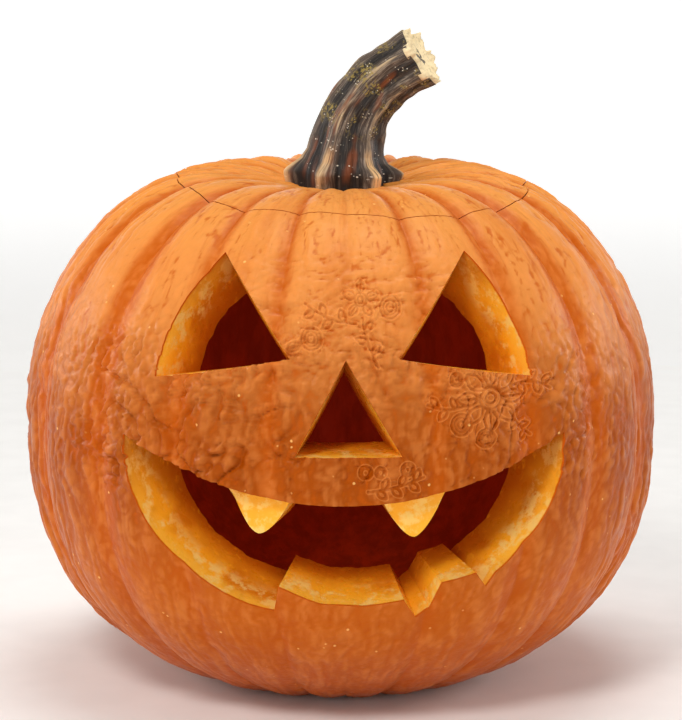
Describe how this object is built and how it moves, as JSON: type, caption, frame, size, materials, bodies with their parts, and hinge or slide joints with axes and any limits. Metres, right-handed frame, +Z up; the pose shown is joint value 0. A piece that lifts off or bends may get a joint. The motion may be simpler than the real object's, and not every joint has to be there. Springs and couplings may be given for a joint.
{
  "type": "carved pumpkin lantern",
  "caption": "Hollow ribbed pumpkin carved with triangle eyes and nose and a toothed grin, with a cut lid and a bent woody stem.",
  "frame": {"origin": "on the ground, under the middle of the fruit", "axes": "+Z up through the crown, the carved face towards -Y"},
  "size_m": [0.281, 0.281, 0.2899],
  "materials": {
    "rind": "waxy ribbed orange rind, lighter towards the crown",
    "flesh": "moist yellow-orange cut flesh with pale cloudy patches",
    "stalk": "dry ridged dark stalk with tan and grey streaks",
    "pith": "dry cream broken end of the stalk"
  },
  "bodies": {
    "root": {"shell": "rind", "lid": "rind", "stem": "stalk"}
  },
  "joints": []
}
